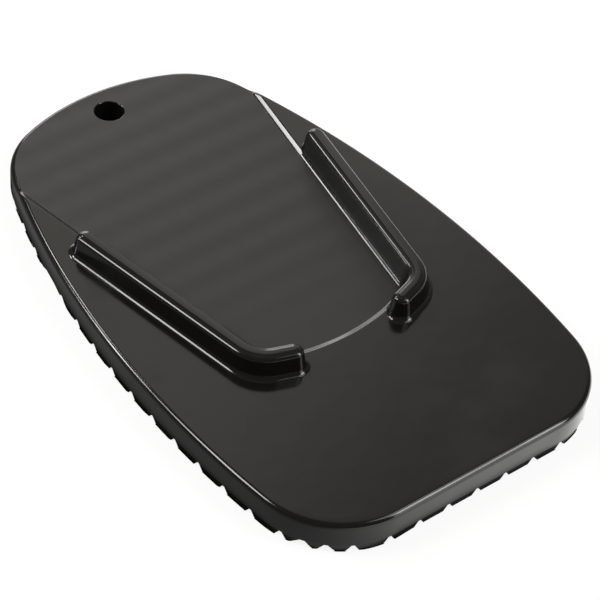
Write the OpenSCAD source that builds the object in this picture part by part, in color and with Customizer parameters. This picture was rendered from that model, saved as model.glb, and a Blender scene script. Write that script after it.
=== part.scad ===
// Stand plate: one moulded plate with a sunk field, two hooked ribs, a cord hole and a block tread.
// +Y runs to the rounded nose, +X across, +Z up. The tread stands on Z = 0. Lengths in millimetres.

/* [Plate outline] */
// Length from the straight end to the nose
plate_l = 150; // [120:1:180]
// Width at the widest place
plate_w = 93; // [75:0.5:110]
// Distance of the widest place behind the middle of the length
widest_back = 22.5; // [10:0.5:30]
// Radius of the two long side curves
side_r = 255; // [200:1:400]
// Radius of the two corners of the straight end
corner_r = 22; // [16:0.5:26]
// Radius of the nose curve
nose_r = 56; // [50:1:62]
// Radius of the two shoulders beside the nose curve
shoulder_r = 22; // [18:0.5:26]

/* [Plate thickness] */
// Height of the outer top face above the ground
plate_h = 8.4; // [7:0.1:11]
// Depth of the sunk field below the outer top face
field_sink = 0.6; // [0.3:0.1:1.2]
// Width of the slope around the sunk field
slope_run = 1.3; // [0.6:0.1:2.5]
// Blend radius along the top edge of the plate
rim_blend = 1; // [0.5:0.1:1.2]

/* [Sunk field] */
// Half width of the field at the middle of the length
field_half = 24.95; // [20:0.05:30]
// Lean of the field sides and of the ribs away from the length
splay_a = 10.2; // [4:0.1:14]
// Radius of the arc that closes the field
arc_r = 53.8; // [45:0.1:70]
// Distance of the lowest point of the arc behind the middle of the length
arc_back = 26.9; // [20:0.1:34]

/* [Ribs] */
// Height of the ribs above the outer top face
rib_h = 5.6; // [3:0.1:9]
// Width of the ribs at the top
rib_w = 4.1; // [3:0.1:5]
// Lean of the rib walls
draft_a = 10; // [2:0.5:14]
// Distance from the field side to the middle of a rib, along the width
rib_shift = 3.5; // [3:0.05:5]
// Position of the nose end of the ribs along the length
rib_front = 29.2; // [22:0.1:36]
// Distance of the rib bend corner behind the middle of the length
bend_back = 25.3; // [20:0.1:30]
// Radius of the rib bend at its middle line
bend_r = 7.9; // [6.5:0.1:10]
// Angle that the rib turns through at the bend
bend_a = 61.4; // [45:0.1:75]
// Straight length of the hook after the bend
hook_l = 6.3; // [4:0.1:8]
// Blend radius along the top edge of the ribs
top_blend = 0.9; // [0.4:0.05:1.1]
// Blend radius where the ribs meet the plate
foot_blend = 1; // [0.3:0.05:1.2]
// Plan radius of the rib end corners
end_r = 1.15; // [1:0.05:1.6]

/* [Cord hole] */
// Radius of the cord hole
hole_r = 3.6; // [2.5:0.1:4.5]
// Distance of the cord hole from the nose
hole_in = 8.5; // [7:0.1:12]
// Size of the chamfer at both mouths of the hole
hole_break = 0.3; // [0.1:0.05:0.6]
// Width of the plain ring around the hole on the tread side
ring_w = 3; // [2:0.1:4]

/* [Tread] */
// Height of the tread blocks
tread_h = 2; // [1:0.1:3]
// Distance between cross grooves
pitch_l = 8.47; // [7:0.01:11]
// Distance between long grooves
pitch_w = 8.1; // [7:0.05:11]
// Shift of the cross grooves behind the middle of the length
groove_back = 1.1; // [0:0.1:4]
// Width of the grooves at the ground
groove_mouth = 2.5; // [1.6:0.1:3]
// Width of the grooves at their root
groove_root = 0.9; // [0.4:0.1:1.4]
// Distance of the outer block faces from the plate wall at the block root
tread_inset = 0.6; // [0.3:0.1:1.2]
// Further inset of the outer block faces at the ground
tread_lean = 0.5; // [0.2:0.1:1]

/* [Hidden] */
$fn = 64;

// Shares of other sizes
root_share = 0.6;
sink_share = 0.04;
groove_share = 0.94;
break_share = 0.12;
plateau_share = 2.5;
nose_share = 0.9;

// Steps along the curves
corner_steps = 14;
back_steps = 4;
side_steps = 8;
join_steps = 2;
shoulder_steps = 9;
nose_steps = 6;
bend_steps = 10;
end_steps = 4;

// Heights
groove_h = tread_h * groove_share;
field_h = plate_h - field_sink;
rib_top = plate_h + rib_h;
root_h = plate_h * root_share;
blend_dip = foot_blend * sink_share;
tread_break = tread_h * break_share;

// Outline centres and the angles where its arcs meet
side_c = [plate_w / 2 - side_r, -widest_back];
corner_y = corner_r - plate_l / 2;
corner_x = side_c.x + sqrt(pow(side_r - corner_r, 2) - pow(corner_y - side_c.y, 2));
nose_c = [0, plate_l / 2 - nose_r];
nose_reach = nose_r - shoulder_r;
side_reach = side_r - shoulder_r;
centre_gap = norm(nose_c - side_c);
along_gap = (pow(side_reach, 2) - pow(nose_reach, 2) + pow(centre_gap, 2)) / (2 * centre_gap);
across_gap = sqrt(pow(side_reach, 2) - pow(along_gap, 2));
gap_dir = (nose_c - side_c) / centre_gap;
shoulder_c = side_c + gap_dir * along_gap + [-gap_dir.y, gap_dir.x] * across_gap;
corner_a = atan2(corner_y - side_c.y, corner_x - side_c.x);
shoulder_a = atan2(shoulder_c.y - side_c.y, shoulder_c.x - side_c.x);
nose_a = atan2(shoulder_c.y - nose_c.y, shoulder_c.x - nose_c.x);

// Where the field side runs out over the side curve
arm_dir = [sin(splay_a), cos(splay_a)];
join_from = [field_half, 0] - side_c;
join_r = side_r - rim_blend / 2;
join_run = -join_from * arm_dir + sqrt(pow(join_from * arm_dir, 2) - join_from * join_from + pow(join_r, 2));
join_p = join_from + arm_dir * join_run;
join_a = atan2(join_p.y, join_p.x);
join_half = asin(slope_run / 2 / sin(join_a + splay_a) / side_r);

// Rib path of the right rib: middle line from the nose end to the hook
bend_corner = [field_half + rib_shift - bend_back * tan(splay_a), -bend_back];
bend_run = bend_r * tan(bend_a / 2);
bend_start = bend_corner + arm_dir * bend_run;
bend_c = bend_start + [-arm_dir.y, arm_dir.x] * bend_r;
arm_l = (rib_front + bend_back) / cos(splay_a) - bend_run - end_r;
hook_run = hook_l - end_r;
half_w = rib_w / 2;
core_w = half_w - end_r;
field_reach = rib_shift + slope_run;

// Points of an arc, without its last point
function arc(c, r, from, to, steps) = [
    for (i = [0 : steps - 1])
        let (a = from + (to - from) * i / steps)
            c + r * [cos(a), sin(a)]
];

// Right half of the plate outline, moved inwards
function half_outline(inset) = concat(
    arc([corner_x, corner_y], corner_r - inset, -90, corner_a, corner_steps),
    arc(side_c, side_r - inset, corner_a, 0, back_steps),
    arc(side_c, side_r - inset, 0, join_a - join_half, side_steps),
    arc(side_c, side_r - inset, join_a - join_half, join_a + join_half, join_steps),
    arc(side_c, side_r - inset, join_a + join_half, shoulder_a, join_steps),
    arc(shoulder_c, shoulder_r - inset, shoulder_a, nose_a, shoulder_steps),
    arc(nose_c, nose_r - inset, nose_a, 90, nose_steps)
);

// Share of the field depth at each point of the half outline
high_steps = corner_steps + back_steps + side_steps;
low_steps = join_steps + shoulder_steps + nose_steps;
sunk_shares = concat(
    [for (i = [0 : high_steps - 1]) 0],
    [for (i = [0 : join_steps - 1]) i / join_steps],
    [for (i = [0 : low_steps - 1]) 1]
);
half_n = len(sunk_shares);
ring_n = 2 * half_n + 1;

// Closed ring around the plate at one height and inset, sunk at the nose
function ring(z, inset, sunk) =
    let (half = half_outline(inset), drop = sunk * field_sink)
        concat(
            [for (i = [0 : half_n - 1]) [half[i].x, half[i].y, z - drop * sunk_shares[i]]],
            [[0, plate_l / 2 - inset, z - drop]],
            [for (i = [half_n - 1 : -1 : 0]) [-half[i].x, half[i].y, z - drop * sunk_shares[i]]]
        );

// Walls between rings of n points each
function walls(rings, n) = [
    for (level = [0 : rings - 2], i = [0 : n - 1], part = [0, 1])
        let (low = level * n, high = low + n, next = (i + 1) % n)
            part == 0 ? [low + i, high + i, high + next] : [low + i, high + next, low + next]
];

// Flat caps: strips between the two sides of a ring, seen from below or from above
function strip(first, pairs, n, above) = [
    for (i = [0 : pairs - 2], part = [0, 1])
        let (a = first + i, b = a + 1, d = first + n - 1 - i, c = d - 1)
            part == 0
                ? (above ? [c, b, a] : [a, b, c])
                : (above ? [d, c, a] : [a, c, d])
];

// Plate with its blended top edge and its leaning tread wall, before anything is cut
module blank() {
    rings = concat(
        ring(0, tread_inset + tread_lean, 0),
        ring(tread_h, tread_inset, 0),
        ring(tread_h, tread_break, 0),
        ring(tread_h + tread_break, 0, 0),
        ring(plate_h - rim_blend, 0, 1),
        ring(plate_h - rim_blend * (1 - sin(30)), rim_blend * (1 - cos(30)), 1),
        ring(plate_h - rim_blend * (1 - sin(60)), rim_blend * (1 - cos(60)), 1),
        ring(plate_h, rim_blend, nose_share),
        ring(plate_h, rim_blend * plateau_share, 0)
    );
    levels = len(rings) / ring_n;
    top = (levels - 1) * ring_n;
    polyhedron(
        points = rings,
        faces = concat(
            walls(levels, ring_n),
            strip(0, half_n, ring_n, false),
            [[half_n - 1, half_n, half_n + 1]],
            strip(top, half_n, ring_n, true),
            [[top + half_n + 1, top + half_n, top + half_n - 1]]
        )
    );
}

// Section that clears the field and slopes up at its edge
module slope_section(inner, edge) {
    polygon([
        [inner, field_h],
        [edge - slope_run / 2, field_h],
        [edge + slope_run * 3 / 2, plate_h + field_sink],
        [inner, plate_h + field_sink]
    ]);
}

// Everything to the left of the right field side
module field_side() {
    translate([field_half, 0, 0])
        rotate([0, 0, -splay_a])
            translate([0, plate_l, 0])
                rotate([90, 0, 0])
                    linear_extrude(height = 2 * plate_l)
                        slope_section(-2 * plate_w, 0);
}

// Space above the sunk field, open at the nose
module field_space() {
    intersection() {
        translate([0, arc_r - arc_back, 0])
            rotate_extrude()
                slope_section(0, arc_r);
        field_side();
        mirror([1, 0, 0])
            field_side();
    }
}

// Point turned about the origin
function turn(p, a) = [p.x * cos(a) - p.y * sin(a), p.x * sin(a) + p.y * cos(a)];

// Point of the right rib given from its bend centre, placed on the plate
function placed(p) = bend_c + turn(p, -splay_a);

// One side of the right rib from its nose end to its hook end:
// side is 1 for the outer wall and -1 for the inner wall, grow moves it away from the middle line
function rib_side(side, grow) = concat(
    [
        for (i = [0 : end_steps])
            let (a = 90 - 90 * i / end_steps, r = end_r + grow)
                placed([bend_r + side * (core_w + r * cos(a)), arm_l + r * sin(a)])
    ],
    [
        for (i = [0 : bend_steps])
            placed(turn([bend_r + side * (half_w + grow), 0], -bend_a * i / bend_steps))
    ],
    [
        for (i = [0 : end_steps])
            let (a = -90 * i / end_steps, r = end_r + grow)
                placed(turn([bend_r + side * (core_w + r * cos(a)), r * sin(a) - hook_run], -bend_a))
    ]
);

rib_n = 2 * end_steps + bend_steps + 3;

// Space that brings the sunk field up to the middle line of the right rib
module under_rib() {
    bend = [for (i = [0 : bend_steps]) -bend_a * i / bend_steps];
    back = [for (i = [bend_steps : -1 : 0]) bend[i]];
    reach_r = bend_r - field_reach;
    translate([0, 0, field_h])
        linear_extrude(height = 2 * field_sink)
            polygon(concat(
                [placed([bend_r, arm_l])],
                [for (a = bend) placed(turn([bend_r, 0], a))],
                [placed(turn([bend_r, -hook_run], -bend_a)), placed(turn([reach_r, -hook_run], -bend_a))],
                [for (a = back) placed(turn([reach_r, 0], a))],
                [placed([reach_r, arm_l])]
            ));
}

// Foot height of the inner wall of a rib at each point along it
function inner_foot(i) = i < end_steps ? field_h + field_sink * (end_steps - i) / end_steps : field_h;

// Closed ring around the right rib: rise is the height above its foot, or from the ground if not on_foot
function rib_ring(grow, rise, on_foot) =
    let (outer = rib_side(1, grow), inner = rib_side(-1, grow))
        concat(
            [for (i = [0 : rib_n - 1]) [outer[i].x, outer[i].y, rise + (on_foot ? plate_h : 0)]],
            [for (i = [rib_n - 1 : -1 : 0]) [inner[i].x, inner[i].y, rise + (on_foot ? inner_foot(i) : 0)]]
        );

// Right rib: leaning walls with a blended top edge and a blended foot
module rib() {
    top_x = top_blend * (1 - sin(draft_a)) / cos(draft_a);
    top_z = rib_top - top_blend;
    foot_z = foot_blend - blend_dip;
    foot_x = (foot_blend - (field_h + foot_z - rib_top) * sin(draft_a)) / cos(draft_a);
    wall_a = 90 - draft_a;
    rings = concat(
        rib_ring(foot_x, root_h, false),
        [for (a = [0, wall_a / 3, wall_a * 2 / 3, wall_a])
            each rib_ring(foot_x - foot_blend * sin(a), foot_z - foot_blend * cos(a), true)],
        [for (a = [draft_a, draft_a + wall_a / 3, draft_a + wall_a * 2 / 3, 90])
            each rib_ring(top_blend * cos(a) - top_x, top_z + top_blend * sin(a), false)]
    );
    n = 2 * rib_n;
    levels = len(rings) / n;
    top = (levels - 1) * n;
    polyhedron(
        points = rings,
        faces = [
            for (face = concat(walls(levels, n), strip(0, rib_n, n, false), strip(top, rib_n, n, true)))
                [face.z, face.y, face.x]
        ]
    );
}

// Section of a tread groove, open to the ground
module groove_section() {
    polygon([
        [-groove_mouth / 2, -tread_h],
        [groove_mouth / 2, -tread_h],
        [groove_mouth / 2, 0],
        [groove_root / 2, groove_h],
        [-groove_root / 2, groove_h],
        [-groove_mouth / 2, 0]
    ]);
}

// Grooves across the plate
module cross_grooves() {
    rows = floor(plate_l / 2 / pitch_l);
    for (row = [-rows : rows])
        translate([-plate_w, row * pitch_l - groove_back, 0])
            rotate([90, 0, 90])
                linear_extrude(height = 2 * plate_w)
                    groove_section();
}

// Grooves along the plate
module long_grooves() {
    files = floor(plate_w / 2 / pitch_w);
    for (file = [-files : files])
        translate([file * pitch_w, plate_l, 0])
            rotate([90, 0, 0])
                linear_extrude(height = 2 * plate_l)
                    groove_section();
}

// Cord hole with a chamfer at both mouths
module cord_hole() {
    translate([0, plate_l / 2 - hole_in, 0]) {
        translate([0, 0, -tread_h])
            cylinder(r = hole_r, h = plate_h + 2 * tread_h);
        translate([0, 0, field_h - hole_break])
            cylinder(r1 = hole_r, r2 = hole_r + 2 * hole_break, h = 2 * hole_break);
        translate([0, 0, -hole_break])
            cylinder(r1 = hole_r + 2 * hole_break, r2 = hole_r, h = 2 * hole_break);
    }
}

// Plate with its field and ribs, before the tread is cut
module plain_plate() {
    difference() {
        blank();
        field_space();
        under_rib();
        mirror([1, 0, 0])
            under_rib();
    }
    rib();
    mirror([1, 0, 0])
        rib();
}

// Plate with the tread cut
module cut_plate() {
    difference() {
        difference() {
            plain_plate();
            cross_grooves();
        }
        long_grooves();
    }
}

module stand_plate() {
    color([0.03, 0.03, 0.03])
        difference() {
            union() {
                cut_plate();
                translate([0, plate_l / 2 - hole_in, 0])
                    cylinder(r = hole_r + ring_w, h = root_h);
            }
            cord_hole();
        }
}

stand_plate();
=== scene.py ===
import math

import bmesh
import bpy
from mathutils import Matrix, Vector


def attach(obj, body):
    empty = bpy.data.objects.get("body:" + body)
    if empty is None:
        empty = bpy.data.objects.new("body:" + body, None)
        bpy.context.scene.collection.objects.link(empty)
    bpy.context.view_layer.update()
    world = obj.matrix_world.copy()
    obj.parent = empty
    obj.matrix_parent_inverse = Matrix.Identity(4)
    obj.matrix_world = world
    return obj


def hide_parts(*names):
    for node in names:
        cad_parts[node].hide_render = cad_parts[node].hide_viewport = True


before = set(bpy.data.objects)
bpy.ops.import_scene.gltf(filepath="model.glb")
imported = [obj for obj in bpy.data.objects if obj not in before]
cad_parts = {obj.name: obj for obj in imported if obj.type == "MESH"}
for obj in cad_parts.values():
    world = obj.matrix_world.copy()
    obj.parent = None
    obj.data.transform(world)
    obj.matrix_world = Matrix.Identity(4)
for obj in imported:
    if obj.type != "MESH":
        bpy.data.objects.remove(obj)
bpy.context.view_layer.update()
mm = 0.001
print("frame loaded")

# What the user sees first: where the photo was taken from
cameraView = {
    "azimuth": -41.387,  # degrees round the plate from the straight end
    "elevation": 44.173,  # degrees above the ground
    "distance": 573.4,  # mm to the point looked at
    "lookAt": (4.299, -5.987, 0.0),  # mm
    "roll": 5.66,  # degrees
    "focal": 4.1112,  # focal length as a share of the image's width
}


def addCamera(v):
    az, el, roll = (math.radians(v[k]) for k in ("azimuth", "elevation", "roll"))
    back = Vector((math.sin(az) * math.cos(el), -math.cos(az) * math.cos(el), math.sin(el)))
    right = (-back).cross(Vector((0, 0, 1))).normalized()
    up = right.cross(-back)
    turnedRight = right * math.cos(roll) + up * math.sin(roll)
    turnedUp = up * math.cos(roll) - right * math.sin(roll)
    data = bpy.data.cameras.new("photoCamera")
    data.sensor_width = 36
    data.lens = data.sensor_width * v["focal"]
    data.clip_start, data.clip_end = 0.01, 20
    cam = bpy.data.objects.new("photoCamera", data)
    bpy.context.scene.collection.objects.link(cam)
    place = (Vector(v["lookAt"]) + back * v["distance"]) * mm
    axes = Matrix((turnedRight, turnedUp, back)).transposed().to_4x4()
    cam.matrix_world = Matrix.Translation(place) @ axes
    bpy.context.scene.camera = cam


addCamera(cameraView)
print("camera placed")


# Helpers for modelling: lengths come in mm, Blender gets metres
def workOn(obj):
    if bpy.context.object and bpy.context.object.mode != "OBJECT":
        bpy.ops.object.mode_set(mode="OBJECT")
    bpy.ops.object.select_all(action="DESELECT")
    obj.select_set(True)
    bpy.context.view_layer.objects.active = obj


def editMesh(obj, mode="VERT"):
    workOn(obj)
    bpy.ops.object.mode_set(mode="EDIT")
    bpy.ops.mesh.select_mode(type=mode)
    bpy.ops.mesh.select_all(action="DESELECT")


def leaveEdit():
    bpy.ops.object.mode_set(mode="OBJECT")


def selectParts(obj, kind, test):
    # kind is verts, edges or faces; test gets each of these, in metres
    bm = bmesh.from_edit_mesh(obj.data)
    count = 0
    for part in getattr(bm, kind):
        if test(part):
            part.select_set(True)
            count += 1
    bm.select_flush_mode()
    bmesh.update_edit_mesh(obj.data)
    return count


def drawOutline(name, start, moves):
    # One vertex, drawn on by straight runs and by spins about arc centres, then filled
    bpy.ops.object.select_all(action="DESELECT")
    bpy.ops.mesh.primitive_plane_add(size=mm, location=(0, 0, 0))
    obj = bpy.context.object
    obj.name = obj.data.name = name
    bpy.ops.object.mode_set(mode="EDIT")
    bpy.ops.mesh.select_mode(type="VERT")
    bpy.ops.mesh.select_all(action="SELECT")
    bpy.ops.mesh.merge(type="CENTER")
    bpy.ops.transform.translate(value=Vector(start) * mm)
    z = start[2]
    here = Vector(start[:2])
    for move in moves:
        if move[0] == "line":
            target = Vector(move[1])
            step = target - here
            bpy.ops.mesh.extrude_vertices_move(
                TRANSFORM_OT_translate={"value": (step.x * mm, step.y * mm, 0)})
            here = target
        else:
            centre, degrees, steps = Vector(move[1]), move[2], move[3]
            bpy.ops.mesh.spin(steps=steps, angle=-math.radians(degrees), axis=(0, 0, 1),
                              center=(centre.x * mm, centre.y * mm, z * mm))
            here = centre + Matrix.Rotation(math.radians(degrees), 2) @ (here - centre)
    bpy.ops.mesh.select_all(action="SELECT")
    bpy.ops.mesh.remove_doubles(threshold=0.02 * mm)
    bpy.ops.mesh.edge_face_add()
    leaveEdit()
    bm = bmesh.new()
    bm.from_mesh(obj.data)
    print(name, len(bm.verts), "points", len(bm.faces), "faces", "ends at", [round(c, 3) for c in here])
    bm.free()
    return obj


# The plate's own sizes in mm
plateSizes = {
    "length": 150, "width": 93, "widestBack": 22.5,
    "sideRadius": 255, "cornerRadius": 22, "noseRadius": 56, "shoulderRadius": 22,
    "height": 8.4, "fieldSink": 0.6, "slopeRun": 1.3, "rimBlend": 1.35,
    "stepFine": 3.6, "plateau": 1.5, "proudShare": 0.95,
    "fieldHalf": 24.95, "splay": 10.2, "arcRadius": 53.8, "arcBack": 26.9,
    # the step's section from outside in: distance across it and height above the field
    "stepProfile": [(1.05, 0.63), (0.62, 0.57), (0.42, 0.51), (-0.38, 0.11), (-0.6, 0.035), (-0.9, 0)],
    # pieces that each arc is drawn with
    "cornerSteps": 28, "backSteps": 44, "joinSteps": 16, "frontSteps": 4, "shoulderSteps": 20,
    "noseSteps": 30, "fieldSteps": 48,
}
treadSizes = {
    "height": 2.0, "pitchLong": 8.47, "pitchWide": 8.1, "grooveBack": 1.1,
    "mouth": 2.5, "root": 0.9, "depthShare": 0.94,
    "inset": 0.25, "lean": 0.3, "edgeBreak": 0.15, "blockRound": 0.15,
}
overrun = 20  # mm that field and grooves are cut past the plate


def degreesOf(v):
    return math.degrees(math.atan2(v.y, v.x))


def polar(centre, radius, degrees):
    a = math.radians(degrees)
    return Vector(centre) + radius * Vector((math.cos(a), math.sin(a)))


def plateArcs(s):
    # Centres of the outline's arcs and the angles where they meet
    side = Vector((s["width"] / 2 - s["sideRadius"], -s["widestBack"]))
    cornerY = s["cornerRadius"] - s["length"] / 2
    reach = s["sideRadius"] - s["cornerRadius"]
    corner = Vector((side.x + math.sqrt(reach ** 2 - (cornerY - side.y) ** 2), cornerY))
    nose = Vector((0, s["length"] / 2 - s["noseRadius"]))
    noseReach, sideReach = s["noseRadius"] - s["shoulderRadius"], s["sideRadius"] - s["shoulderRadius"]
    gap = nose - side
    along = (sideReach ** 2 - noseReach ** 2 + gap.length_squared) / (2 * gap.length)
    across = math.sqrt(sideReach ** 2 - along ** 2)
    gapDir = gap.normalized()
    shoulder = side + gapDir * along + Vector((-gapDir.y, gapDir.x)) * across
    return side, corner, nose, shoulder


def acrossStep(s, x, y):
    # Distance outwards from the middle of the step beside the field
    a = math.radians(s["splay"])
    return (abs(x) - s["fieldHalf"]) * math.cos(a) - y * math.sin(a)


def stepEndAngle(s, side):
    # Angle on the side curve where the step runs out over the rim
    low, high = 0.0, 30.0
    for _ in range(40):
        middle = (low + high) / 2
        point = polar(side, s["sideRadius"] - s["rimBlend"] / 2, middle)
        low, high = (middle, high) if acrossStep(s, *point) > 0 else (low, middle)
    return middle


def plateOutline(s):
    side, corner, nose, shoulder = plateArcs(s)
    cornerA, shoulderA = degreesOf(corner - side), degreesOf(shoulder - side)
    noseA = degreesOf(shoulder - nose)
    stepA = stepEndAngle(s, side)
    stepHalf = math.degrees(s["stepFine"] / s["sideRadius"])
    flip = Vector((-1, 1))
    start = (corner.x, -s["length"] / 2, treadSizes["height"])
    sideArcs = [
        (side, stepA - stepHalf - cornerA, s["backSteps"]),
        (side, 2 * stepHalf, s["joinSteps"]),
        (side, shoulderA - stepA - stepHalf, s["frontSteps"]),
        (shoulder, noseA - shoulderA, s["shoulderSteps"]),
    ]
    rightArcs = [("arc", *arc) for arc in sideArcs]
    leftArcs = [("arc", centre * flip, degrees, steps) for centre, degrees, steps in reversed(sideArcs)]
    return start, [
        ("arc", corner, 90 + cornerA, s["cornerSteps"]), *rightArcs,
        ("arc", nose, 180 - 2 * noseA, s["noseSteps"]),
        *leftArcs, ("arc", corner * flip, 90 + cornerA, s["cornerSteps"]),
    ]


def applyModifiers(obj):
    workOn(obj)
    for m in list(obj.modifiers):
        bpy.ops.object.modifier_apply(modifier=m.name)


def combine(obj, tool, operation):
    m = obj.modifiers.new("combine", "BOOLEAN")
    m.operation, m.object, m.solver = operation, tool, "MANIFOLD"
    applyModifiers(obj)
    bpy.data.objects.remove(tool)


def faceNormalsAt(edge):
    return sorted(f.normal.z for f in edge.link_faces)


def isBetween(edge, lowRange, highRange):
    # True for an edge between two faces whose normals rise within these ranges
    n = faceNormalsAt(edge)
    return len(n) == 2 and lowRange[0] <= n[0] <= lowRange[1] and highRange[0] <= n[1] <= highRange[1]


def bevelEdges(obj, test, width, segments):
    editMesh(obj, "EDGE")
    count = selectParts(obj, "edges", test)
    bpy.ops.mesh.bevel(offset_type="OFFSET", offset=width * mm, segments=segments, profile=0.5,
                       affect="EDGES", clamp_overlap=False)
    leaveEdit()
    print("bevelled", count, "edges of", obj.name, "by", width, "mm")


def closeUp(obj):
    editMesh(obj)
    bpy.ops.mesh.select_all(action="SELECT")
    bpy.ops.mesh.remove_doubles(threshold=0.001 * mm)
    bpy.ops.mesh.normals_make_consistent(inside=False)
    leaveEdit()


def raisePrism(obj, height):
    editMesh(obj, "FACE")
    bpy.ops.mesh.select_all(action="SELECT")
    bpy.ops.mesh.extrude_region_move(TRANSFORM_OT_translate={"value": (0, 0, height * mm)})
    leaveEdit()
    closeUp(obj)


def insetFlat(obj, z, upwards, thickness, depth):
    # Insets the flat face at this height and moves it along its normal
    editMesh(obj, "FACE")
    selectParts(obj, "faces", lambda f: abs(f.calc_center_median().z - z * mm) < 0.001 * mm
                and f.normal.z * (1 if upwards else -1) > 0.9999)
    bpy.ops.mesh.inset(thickness=thickness * mm, depth=depth * mm, use_even_offset=True)
    leaveEdit()


def fieldOutline(s, grow):
    # The sunk field, moved outwards by grow: two slanting sides and the arc, open past the nose
    a = math.radians(s["splay"])
    past = s["length"] / 2 + overrun
    centre = Vector((0, s["arcRadius"] - s["arcBack"]))
    radius = s["arcRadius"] + grow
    sideRun = Vector((math.sin(a), math.cos(a)))
    onSide = Vector((s["fieldHalf"] + grow / math.cos(a), 0))
    away = onSide - centre
    reach = away.dot(sideRun) + math.sqrt(away.dot(sideRun) ** 2 - away.length_squared + radius ** 2)
    low = onSide - sideRun * reach
    high = onSide + sideRun * (past / sideRun.y)
    half = 90 + degreesOf(low - centre)
    flip = Vector((-1, 1))
    start = low * flip
    return (start.x, start.y, s["height"] + s["fieldSink"]), [
        ("arc", centre, 2 * half, s["fieldSteps"]),
        ("line", high),
        ("line", high * flip),
    ]


def makeFieldCutter(s):
    # Drawn wide above the plate's top, then let down step by step to the floor of the field
    grow = s["stepProfile"][0][0]
    cutter = drawOutline("fieldCutter", *fieldOutline(s, grow))
    raisePrism(cutter, s["fieldSink"])
    bottom = s["height"] + s["fieldSink"]
    for nextGrow, nextZ in s["stepProfile"]:
        depth = bottom - (s["height"] - s["fieldSink"] + nextZ)
        insetFlat(cutter, bottom, False, grow - nextGrow, depth)
        grow, bottom = nextGrow, bottom - depth
    return cutter


def stepDrop(s, across):
    # How far the top lies below the outer face at this distance across the step
    profile = s["stepProfile"]
    if across >= profile[0][0]:
        return 0
    for (g1, z1), (g2, z2) in zip(profile, profile[1:]):
        if across >= g2:
            z = z2 + (z1 - z2) * (across - g2) / (g1 - g2)
            return max(s["fieldSink"] - z, 0)
    return s["fieldSink"]


def sinkNose(obj, s):
    # The rim follows the field down at the nose; its innermost ring stays a little proud, for a clean cut
    rimFoot = (s["height"] - s["rimBlend"] - 0.01) * mm
    insetFlat(obj, s["height"], True, s["plateau"], 0)
    topFaces = [f for f in obj.data.polygons if f.center.z > (s["height"] - 0.001) * mm]
    plateau = set(max(topFaces, key=lambda f: f.area).vertices)
    for v in obj.data.vertices:
        if v.co.z > rimFoot and v.co.y > 0 and v.index not in plateau:
            x, y, z = v.co / mm
            share = s["proudShare"] if z > s["height"] - 0.001 else 1
            v.co.z -= stepDrop(s, acrossStep(s, x, y)) * share * mm


def makePlateBody(s, t):
    plate = drawOutline("plateBody", *plateOutline(s))
    raisePrism(plate, s["height"] - t["height"])
    wall = (-0.01, 0.01)
    bevelEdges(plate, lambda e: isBetween(e, wall, (0.99, 1.001)), s["rimBlend"], 8)
    bevelEdges(plate, lambda e: isBetween(e, (-1.001, -0.99), wall), t["edgeBreak"], 3)
    sinkNose(plate, s)
    combine(plate, makeFieldCutter(s), "DIFFERENCE")
    insetFlat(plate, t["height"], False, t["inset"] - t["edgeBreak"], 0)
    insetFlat(plate, t["height"], False, t["lean"], t["height"])
    return plate


# Ribs: sizes in mm
ribSizes = {
    "height": 5.6, "width": 4.1, "draft": 10, "shift": 3.5, "front": 29.2,
    "bendBack": 25.3, "bendRadius": 7.9, "bendAngle": 61.4, "hook": 6.3,
    "topBlend": 1.2, "footBlend": 1.55, "footDip": 0.04, "rootShare": 0.6,
    "crown": 0.18, "crownRun": 0.75,
    "topSteps": 7, "footSteps": 6, "crownSteps": 5, "bendSteps": 24, "endSteps": 36,
}


def ribPath(s, r):
    # Middle line of the right rib: arm direction, bend centre, arm and hook lengths up to the round ends
    a = math.radians(s["splay"])
    arm = Vector((math.sin(a), math.cos(a)))
    corner = Vector((s["fieldHalf"] + r["shift"] - r["bendBack"] * math.tan(a), -r["bendBack"]))
    run = r["bendRadius"] * math.tan(math.radians(r["bendAngle"] / 2))
    centre = corner + arm * run + Vector((-arm.y, arm.x)) * r["bendRadius"]
    armLength = (r["front"] + r["bendBack"]) / math.cos(a) - run - r["width"] / 2
    return arm, centre, armLength, r["hook"] - r["width"] / 2


def ribSection(s, r):
    # Rings from the root up: growth of the outline at the rib's top width, and height
    a = math.radians(r["draft"])
    top = s["height"] + r["height"]
    topX = r["topBlend"] * (1 - math.sin(a)) / math.cos(a)
    footZ = s["height"] - r["footDip"] + r["footBlend"]
    footX = (r["footBlend"] - (footZ - top) * math.sin(a)) / math.cos(a)
    rings = [(footX, s["height"] * r["rootShare"]), (footX, footZ - r["footBlend"])]
    for i in range(1, r["footSteps"] + 1):
        turn = (math.pi / 2 - a) * i / r["footSteps"]
        rings.append((footX - r["footBlend"] * math.sin(turn), footZ - r["footBlend"] * math.cos(turn)))
    for i in range(r["topSteps"] + 1):
        turn = a + (math.pi / 2 - a) * i / r["topSteps"]
        rings.append((r["topBlend"] * math.cos(turn) - topX, top - r["topBlend"] * (1 - math.sin(turn))))
    # the top is lightly crowned: its rings rise a little towards the middle line
    grow, edge = rings[-1]
    rings = [(g, z - r["crown"] if z > top - r["topBlend"] else z) for g, z in rings]
    for i in range(1, r["crownSteps"] + 1):
        share = i / r["crownSteps"]
        rings.append((grow - r["crownRun"] * share, edge - r["crown"] * (1 - share) ** 2))
    return rings


def acrossRib(s, r, x, y):
    # Distance from the middle line of the right rib, outwards positive
    arm, centre = ribPath(s, r)[:2]
    out = Vector((arm.y, -arm.x))
    p = Vector((x, y)) - centre
    if p.dot(arm) >= 0:
        return p.dot(out) - r["bendRadius"]
    hookOut = Matrix.Rotation(math.radians(-r["bendAngle"]), 2) @ out
    hookArm = Vector((-hookOut.y, hookOut.x))
    if p.dot(hookArm) <= 0:
        return p.dot(hookOut) - r["bendRadius"]
    return p.length - r["bendRadius"]


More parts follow.
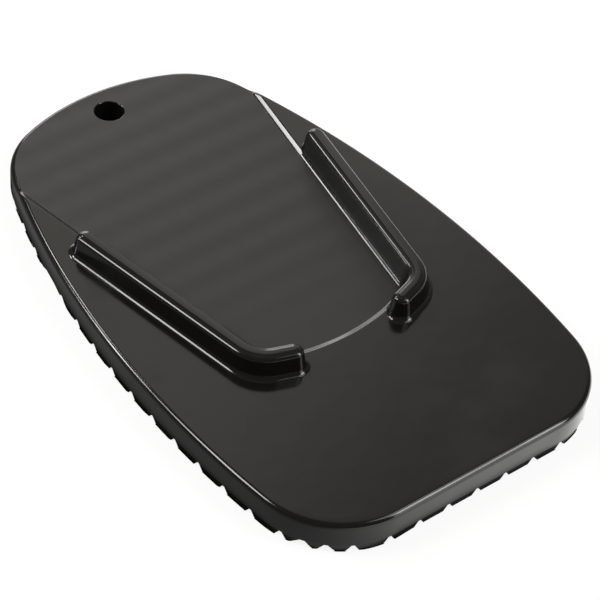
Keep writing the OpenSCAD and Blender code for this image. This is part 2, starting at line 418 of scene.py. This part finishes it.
def makeRib(s, r):
    arm, centre, armLength, hookRun = ribPath(s, r)
    rings = ribSection(s, r)
    grow, z = rings[0]
    half = r["width"] / 2
    out = Vector((arm.y, -arm.x))
    turned = Matrix.Rotation(math.radians(-r["bendAngle"]), 2)

    def onArm(u, v):
        return centre + out * (r["bendRadius"] + u) + arm * v

    def onHook(u, v):
        return centre + turned @ (out * (r["bendRadius"] + u) + arm * v)

    start = onArm(-half - grow, armLength)
    bend = r["bendAngle"]
    rib = drawOutline("rib", (start.x, start.y, z), [
        ("arc", onArm(0, armLength), -180, r["endSteps"]),
        ("line", onArm(half + grow, 0)),
        ("arc", centre, -bend, r["bendSteps"]),
        ("line", onHook(half + grow, -hookRun)),
        ("arc", onHook(0, -hookRun), -180, r["endSteps"]),
        ("line", onHook(-half - grow, 0)),
        ("arc", centre, bend, r["bendSteps"]),
        ("line", onArm(-half - grow, armLength)),
    ])
    raisePrism(rib, rings[1][1] - z)
    for (grow, z), (nextGrow, nextZ) in zip(rings[1:], rings[2:]):
        insetFlat(rib, z, True, grow - nextGrow, nextZ - z)
    # the inner foot stands in the sunk field, the outer one on the outer face
    for grow, z in rings[1:2 + r["footSteps"]]:
        for v in rib.data.vertices:
            if abs(v.co.z / mm - z) < 0.002:
                inwards = -acrossRib(s, r, v.co.x / mm, v.co.y / mm)
                share = inwards / (half + grow)
                v.co.z -= s["fieldSink"] * min(max(share, 0), 1) * mm
    closeUp(rib)
    return rib


def makeUnderRib(s, r):
    # Space that brings the field up to the middle line of the right rib
    arm, centre, armLength, hookRun = ribPath(s, r)
    out = Vector((arm.y, -arm.x))
    turned = Matrix.Rotation(math.radians(-r["bendAngle"]), 2)
    middle, inner = r["bendRadius"], r["bendRadius"] - r["shift"] - s["slopeRun"]
    start = centre + out * middle + arm * armLength
    space = drawOutline("underRib", (start.x, start.y, s["height"] - s["fieldSink"] + 0.001), [
        ("line", centre + out * middle),
        ("arc", centre, -r["bendAngle"], r["bendSteps"]),
        ("line", centre + turned @ (out * middle - arm * hookRun)),
        ("line", centre + turned @ (out * inner - arm * hookRun)),
        ("line", centre + turned @ (out * inner)),
        ("arc", centre, r["bendAngle"], r["bendSteps"]),
        ("line", centre + out * inner + arm * armLength),
    ])
    raisePrism(space, 2 * s["fieldSink"])
    return space


def mirrored(obj, name):
    copy = obj.copy()
    copy.data = obj.data.copy()
    copy.name = copy.data.name = name
    bpy.context.scene.collection.objects.link(copy)
    workOn(copy)
    bpy.ops.transform.mirror(constraint_axis=(True, False, False), orient_type="GLOBAL")
    bpy.ops.object.transform_apply(location=True, rotation=True, scale=True)
    closeUp(copy)
    return copy


def makeGrooves(s, t, along):
    # One wedge laid across the plate, narrowed towards its root, then repeated at the pitch
    reach, pitch = (s["length"], t["pitchWide"]) if along else (s["width"], t["pitchLong"])
    span = s["width"] if along else s["length"]
    count = int(span / 2 / pitch)
    shift = 0 if along else -t["grooveBack"]
    depth = t["height"] * t["depthShare"]
    under = 1.0
    bpy.ops.object.select_all(action="DESELECT")
    bpy.ops.mesh.primitive_cube_add(size=mm)
    groove = bpy.context.object
    groove.name = "grooves"
    groove.dimensions = (t["mouth"] * mm, (reach + overrun) * mm, depth * mm)
    bpy.ops.object.transform_apply(location=False, rotation=False, scale=True)
    bpy.ops.transform.translate(value=(-count * pitch * mm, 0, depth / 2 * mm))
    bpy.ops.object.transform_apply(location=True, rotation=False, scale=False)
    editMesh(groove, "FACE")
    selectParts(groove, "faces", lambda f: f.normal.z > 0.9)
    bpy.ops.transform.resize(value=(t["root"] / t["mouth"], 1, 1))
    bpy.ops.mesh.select_all(action="DESELECT")
    selectParts(groove, "faces", lambda f: f.normal.z < -0.9)
    bpy.ops.mesh.extrude_region_move(TRANSFORM_OT_translate={"value": (0, 0, -under * mm)})
    leaveEdit()
    row = groove.modifiers.new("row", "ARRAY")
    row.count = 2 * count + 1
    row.use_relative_offset, row.use_constant_offset = False, True
    row.constant_offset_displace = (pitch * mm, 0, 0)
    applyModifiers(groove)
    if not along:
        groove.rotation_euler.z = math.pi / 2
        bpy.ops.object.transform_apply(location=False, rotation=True, scale=False)
    groove.location.y = shift * mm
    bpy.ops.object.transform_apply(location=True, rotation=False, scale=False)
    closeUp(groove)
    return groove


# Cord hole near the nose, in mm
holeSizes = {
    "radius": 3.6, "fromNose": 8.5, "edgeRound": 0.3, "points": 96,
    # the ring on the tread side: its width, and its height as a share of the plate's
    "ring": 3.0, "ringShare": 0.6,
    "cutFrom": -2, "cutTo": 12,
}


def makeRound(s, radius, low, high, points):
    bpy.ops.object.select_all(action="DESELECT")
    centre = (0, (s["length"] / 2 - holeSizes["fromNose"]) * mm, (low + high) / 2 * mm)
    bpy.ops.mesh.primitive_cylinder_add(
        vertices=points, radius=radius * mm, depth=(high - low) * mm, location=centre)
    obj = bpy.context.object
    bpy.ops.object.transform_apply(location=True, rotation=True, scale=True)
    return obj


def atMouth(e, s, h, z):
    centre = Vector((0, s["length"] / 2 - h["fromNose"], z))
    return all((v.co / mm - centre).length < h["radius"] + 0.01 and abs(v.co.z / mm - z) < 0.001
               for v in e.verts)


def finishShading(obj):
    workOn(obj)
    bpy.ops.object.shade_smooth_by_angle(angle=math.radians(35))
    m = obj.modifiers.new("evenNormals", "WEIGHTED_NORMAL")
    m.mode, m.weight, m.keep_sharp = "FACE_AREA", 100, True
    applyModifiers(obj)


def makeStandPlate(s, t, r, h):
    field = s["height"] - s["fieldSink"]
    plate = makePlateBody(s, t)
    print("plate body", len(plate.data.vertices))
    space = makeUnderRib(s, r)
    combine(plate, mirrored(space, "underLeftRib"), "DIFFERENCE")
    combine(plate, space, "DIFFERENCE")
    rightRib = makeRib(s, r)
    leftRib = mirrored(rightRib, "leftRib")
    combine(plate, rightRib, "UNION")
    combine(plate, leftRib, "UNION")
    print("ribs joined", len(plate.data.vertices))
    combine(plate, makeGrooves(s, t, False), "DIFFERENCE")
    combine(plate, makeGrooves(s, t, True), "DIFFERENCE")
    bevelEdges(plate, lambda e: isBetween(e, (-1.001, -0.999), (-0.9, 0.1))
               and e.verts[0].co.z < 0.01 * mm, t["blockRound"], 2)
    ring = makeRound(s, h["radius"] + h["ring"], 0, s["height"] * h["ringShare"], h["points"])
    combine(plate, ring, "UNION")
    combine(plate, makeRound(s, h["radius"], h["cutFrom"], h["cutTo"], h["points"]), "DIFFERENCE")
    bevelEdges(plate, lambda e: atMouth(e, s, h, field) or atMouth(e, s, h, 0), h["edgeRound"], 3)
    closeUp(plate)
    finishShading(plate)
    return plate


# Plastic: one black moulding, glossy on the outer face, the ribs and the rim, finely grained in the field
plasticLook = {
    "glossColour": (0.0042, 0.0040, 0.0037), "grainColour": (0.0108, 0.0103, 0.0095),
    "index": 1.45,
    "glossRoughness": 0.13, "grainRoughness": 0.42,
    "grainSize": 0.28, "grainDepth": 0.006,  # mm
    "sinkDepth": 0.035,  # mm, sink marks over the tread blocks
    "sinkRows": 0.62, "sinkFiles": 0.38,  # shares of the marks' depth, along and across
    "sinkFrom": -32, "sinkTo": 10,  # mm along the plate, from no marks to full ones
    "waveSize": 6, "waveDepth": 0.02,  # mm, on the gloss
    "cloudSize": 22, "cloudShare": 0.10, "cloudFrom": 0.5, "cloudTo": 0.72,
    # the grained skin: heights from the field's floor (mm), and how level it has to be
    "skinBelow": (-0.2, -0.05), "skinAbove": (0.03, 0.15), "skinLevel": (0.985, 0.998),
}


class Flow:
    # A node output that takes part in plain arithmetic
    def __init__(self, maker, socket):
        self.maker, self.socket = maker, socket

    def calc(self, operation, *values):
        return self.maker.node("ShaderNodeMath", {"operation": operation}, dict(enumerate(values)))

    def __add__(self, other):
        return self.calc("ADD", self, other)

    def __radd__(self, other):
        return self.calc("ADD", other, self)

    def __sub__(self, other):
        return self.calc("SUBTRACT", self, other)

    def __rsub__(self, other):
        return self.calc("SUBTRACT", other, self)

    def __mul__(self, other):
        return self.calc("MULTIPLY", self, other)

    def __truediv__(self, other):
        return self.calc("DIVIDE", self, other)

    def cosine(self):
        return self.calc("COSINE", self)

    def root(self):
        return self.calc("SQRT", self)


class Maker:
    # Adds nodes to one material or world
    def __init__(self, owner):
        owner.use_nodes = True
        self.tree = owner.node_tree
        self.tree.nodes.clear()

    def node(self, kind, settings=None, values=None, output=0):
        made = self.tree.nodes.new(kind)
        for key, value in (settings or {}).items():
            setattr(made, key, value)
        for key, value in (values or {}).items():
            socket = made.inputs[key]
            if isinstance(value, Flow):
                self.tree.links.new(value.socket, socket)
            else:
                socket.default_value = value
        return made if output is None else Flow(self, made.outputs[output])

    def between(self, value, low, high):
        # 0 below low, 1 above high, eased in between
        return self.node("ShaderNodeMapRange", {"interpolation_type": "SMOOTHSTEP"},
                         {"Value": value, "From Min": low, "From Max": high}, "Result")

    def noise(self, vector, size, detail=2, roughness=0.5):
        return self.node("ShaderNodeTexNoise", {}, {
            "Vector": vector, "Scale": 1 / (size * mm), "Detail": detail, "Roughness": roughness}, "Fac")


def makePlastic(look, s, t):
    material = bpy.data.materials.new("blackPlastic")
    m = Maker(material)
    coords = m.node("ShaderNodeTexCoord", output=None)
    place, facing = Flow(m, coords.outputs["Object"]), Flow(m, coords.outputs["Normal"])
    split = m.node("ShaderNodeSeparateXYZ", {}, {0: place}, None)
    x, y, z = (Flow(m, split.outputs[i]) / mm for i in range(3))
    up = m.node("ShaderNodeSeparateXYZ", {}, {0: facing}, "Z")
    # the grained skin covers the level part of the field only
    field = s["height"] - s["fieldSink"]
    below, above = ([field + offset for offset in look[k]] for k in ("skinBelow", "skinAbove"))
    grained = m.between(z, *below) * (1 - m.between(z, *above)) * m.between(up, *look["skinLevel"])
    gloss = 1 - grained
    # sink marks: the skin of the field dips a little over each tread block, less towards the hooks
    blockY = t["pitchLong"] / 2 - t["grooveBack"]
    rows = ((y - blockY) * (2 * math.pi / t["pitchLong"])).cosine()
    files = ((x - t["pitchWide"] / 2) * (2 * math.pi / t["pitchWide"])).cosine()
    fade = m.between(y, look["sinkFrom"], look["sinkTo"])
    marks = rows * look["sinkRows"] + files * look["sinkFiles"]
    sinks = marks * grained * fade * (-look["sinkDepth"])
    grain = m.noise(place, look["grainSize"], 3, 0.6) * grained * look["grainDepth"]
    waves = m.noise(place, look["waveSize"], 1) * gloss * look["waveDepth"]
    height = sinks + grain + waves
    bump = m.node("ShaderNodeBump", {}, {"Height": height, "Distance": mm, "Strength": 1.0}, "Normal")
    clouds = m.between(m.noise(place, look["cloudSize"], 3, 0.55), look["cloudFrom"], look["cloudTo"])
    rise = look["grainRoughness"] - look["glossRoughness"]
    roughness = look["glossRoughness"] + grained * rise + clouds * gloss * look["cloudShare"]
    colour = m.node("ShaderNodeMix", {"data_type": "RGBA"}, {
        "Factor": grained, 6: (*look["glossColour"], 1), 7: (*look["grainColour"], 1)}, 2)
    shader = m.node("ShaderNodeBsdfPrincipled", {}, {
        "Base Color": colour, "Roughness": roughness, "Normal": bump, "IOR": look["index"]}, "BSDF")
    m.node("ShaderNodeOutputMaterial", {}, {"Surface": shader}, None)
    return material


# Studio: white floor, a pale panel behind on the right, strips behind on the left, softboxes in front
# on the right
studio = {
    "skyLevel": 0.45,
    # what reflections see: the panel, falling off towards the front and above, and down to the horizon
    "roomLevel": 0.15, "panelLevel": 1.16, "panelColour": (1, 0.97, 0.89),
    "falloffAlong": (0.377, -0.853, 0.361), "falloffFrom": -0.05, "falloffTo": 0.07, "falloffShare": 0.7,
    "dimFrom": 0.1, "dimTo": 0.45,
    "lowFrom": 0.1, "lowTo": 0.42,
    "leftAlong": (-0.966, 0.259, 0), "leftFrom": -0.16, "leftTo": 0.1,
    # the floor is white to the camera; to everything else it carries painted shade towards the left and
    # painted light towards the right
    # in reflections the floor also gives off a painted glow, shaded by the painted light and shadow
    # below, standing in for the lamps' light on it
    "floorColour": 0.82, "floorGlow": 0.88, "mirroredPaintedGlow": 0.35, "paintedGlowStrength": 4.2,
    "paintedLightAlong": (0.819, -0.574, 0), "paintedLightFrom": -10, "paintedLightTo": 66, "paintedLightLow": 0.13, "paintedLightHigh": 0.9,
    "floorSize": 30, "floorDrop": 0.02,  # width in metres, and mm below the tread
    # and it carries a painted contact shadow close to the plate, up to these distances from its outline
    "paintedShadowFrom": 0.2, "paintedShadowTo": 2.8, "paintedShadowLow": 0.05,
    "softboxes": [
        # azimuth from the nose and elevation (degrees), distance (m), width and height (m), watts
        ("stepStrip", -13, 45, 1.0, 0.15, 0.2, 2.0),
        ("rimStrip", -43, 29, 1.0, 0.13, 0.28, 3.2),
        ("sideStrip", -57, 45, 1.0, 0.26, 0.34, 4.6),
        ("backGlow", 25, 13, 1.0, 0.46, 0.38, 1.8),
        ("frontLow", 150, 14, 1.0, 0.34, 0.38, 1.3),
        ("frontStrip", 142, 38, 1.0, 0.3, 0.36, 4.2),
        ("frontFill", 132, 60, 1.0, 0.5, 0.3, 1.4),
    ],
}


def addSoftbox(name, azimuth, elevation, distance, width, height, watts):
    lamp = bpy.data.lights.new(name, "AREA")
    lamp.shape, lamp.size, lamp.size_y, lamp.energy = "RECTANGLE", width, height, watts
    obj = bpy.data.objects.new(name, lamp)
    bpy.context.scene.collection.objects.link(obj)
    az, el = math.radians(azimuth), math.radians(elevation)
    towards = Vector((math.sin(az) * math.cos(el), math.cos(az) * math.cos(el), math.sin(el)))
    obj.location = towards * distance
    obj.rotation_mode = "QUATERNION"
    obj.rotation_quaternion = towards.to_track_quat("Z", "Y")


def seenRays(m):
    # The camera's own rays, and with them those that come by way of gloss or glass
    path = m.node("ShaderNodeLightPath", output=None)
    camera, glossy, through = (Flow(m, path.outputs[k]) for k in (
        "Is Camera Ray", "Is Glossy Ray", "Is Transmission Ray"))
    return camera, camera.calc("MAXIMUM", camera, camera.calc("MAXIMUM", glossy, through))


def dotProduct(m, vector, axis):
    return m.node("ShaderNodeVectorMath", {"operation": "DOT_PRODUCT"}, {0: vector, 1: axis}, "Value")


def makeWorld(v):
    world = bpy.data.worlds.new("studioWorld")
    bpy.context.scene.world = world
    m = Maker(world)
    camera, seen = seenRays(m)
    direction = m.node("ShaderNodeTexCoord", output="Generated")
    along = dotProduct(m, direction, v["falloffAlong"])
    height = m.node("ShaderNodeSeparateXYZ", {}, {0: direction}, "Z")
    panel = 1 - m.between(along, v["falloffFrom"], v["falloffTo"]) * v["falloffShare"]
    panel = panel * (1 - m.between(along, v["dimFrom"], v["dimTo"]))
    panel = panel * m.between(height, v["lowFrom"], v["lowTo"])
    left = dotProduct(m, direction, v["leftAlong"])
    panel = panel * (1 - m.between(left, v["leftFrom"], v["leftTo"]))
    mirrored = v["roomLevel"] + panel * (v["panelLevel"] - v["roomLevel"])
    level = v["skyLevel"] + seen * (mirrored - v["skyLevel"]) + camera * (1 - mirrored)
    tint = m.node("ShaderNodeMix", {"data_type": "RGBA"}, {
        "Factor": camera, 6: (*v["panelColour"], 1), 7: (1, 1, 1, 1)}, 2)
    back = m.node("ShaderNodeBackground", {}, {"Color": tint, "Strength": level}, "Background")
    m.node("ShaderNodeOutputWorld", {}, {"Surface": back}, None)


def distanceFromPlate(m, place, s):
    # How far a spot on the floor lies from the plate's side curves, wide corners and straight end
    side = plateArcs(s)[0]
    split = m.node("ShaderNodeSeparateXYZ", {}, {0: place}, None)
    x, y = Flow(m, split.outputs[0]), Flow(m, split.outputs[1])
    across, along = x.calc("ABSOLUTE", x) - side.x * mm, y - side.y * mm
    beyondSide = (across * across + along * along).root() - s["sideRadius"] * mm
    beyondEnd = -s["length"] / 2 * mm - y
    corner = s["cornerRadius"] * mm
    a, b = (d.calc("MAXIMUM", d + corner, 0) for d in (beyondSide, beyondEnd))
    return (a * a + b * b).root() - corner


def makeFloor(v, s):
    bpy.ops.object.select_all(action="DESELECT")
    bpy.ops.mesh.primitive_plane_add(size=v["floorSize"], location=(0, 0, -v["floorDrop"] * mm))
    floor = bpy.context.object
    floor.name = "studioFloor"
    material = bpy.data.materials.new("paleFloor")
    m = Maker(material)
    camera, seen = seenRays(m)
    place = m.node("ShaderNodeTexCoord", output="Object")
    # painted light and shade on the floor: darker towards the left, lighter towards the right, for all
    # but the camera's rays
    along = dotProduct(m, place, v["paintedLightAlong"])
    paintedLitShare = m.between(along, v["paintedLightFrom"] * mm, v["paintedLightTo"] * mm)
    paintedLightAndShade = v["paintedLightLow"] + paintedLitShare * (v["paintedLightHigh"] - v["paintedLightLow"])
    # painted contact shadow: the floor darkens close to the plate's outline
    outsidePaintedShadow = m.between(distanceFromPlate(m, place, s), v["paintedShadowFrom"] * mm, v["paintedShadowTo"] * mm)
    paintedLightAndShade = paintedLightAndShade * (v["paintedShadowLow"] + outsidePaintedShadow * (1 - v["paintedShadowLow"]))
    # the camera sees the even floor colour; all other rays get the painted light and shade
    colour = paintedLightAndShade + camera * (v["floorColour"] - paintedLightAndShade)
    grey = m.node("ShaderNodeCombineColor", {}, {"Red": colour, "Green": colour, "Blue": colour}, "Color")
    matt = m.node("ShaderNodeBsdfDiffuse", {}, {"Color": grey}, "BSDF")
    # painted glow: in reflections the floor glows with its painted light and shadow; to the camera it is
    # evenly white
    strength = paintedLightAndShade * v["paintedGlowStrength"] * (1 - camera) + camera
    glow = m.node("ShaderNodeEmission", {}, {"Color": (1, 1, 1, 1), "Strength": strength}, "Emission")
    share = seen * v["mirroredPaintedGlow"] + camera * (v["floorGlow"] - v["mirroredPaintedGlow"])
    mixed = m.node("ShaderNodeMixShader", {}, {0: share, 1: matt, 2: glow}, "Shader")
    m.node("ShaderNodeOutputMaterial", {}, {"Surface": mixed}, None)
    floor.data.materials.append(material)


plate = makeStandPlate(plateSizes, treadSizes, ribSizes, holeSizes)
plate.name = plate.data.name = "standPlate"
plate.data.materials.clear()
plate.data.materials.append(makePlastic(plasticLook, plateSizes, treadSizes))
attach(plate, "root")
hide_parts("stand_plate")
print("plate finished", len(plate.data.polygons), "faces")

makeWorld(studio)
makeFloor(studio, plateSizes)
for softbox in studio["softboxes"]:
    addSoftbox(*softbox)
bpy.context.scene.view_settings.view_transform = "Standard"
print("studio set")
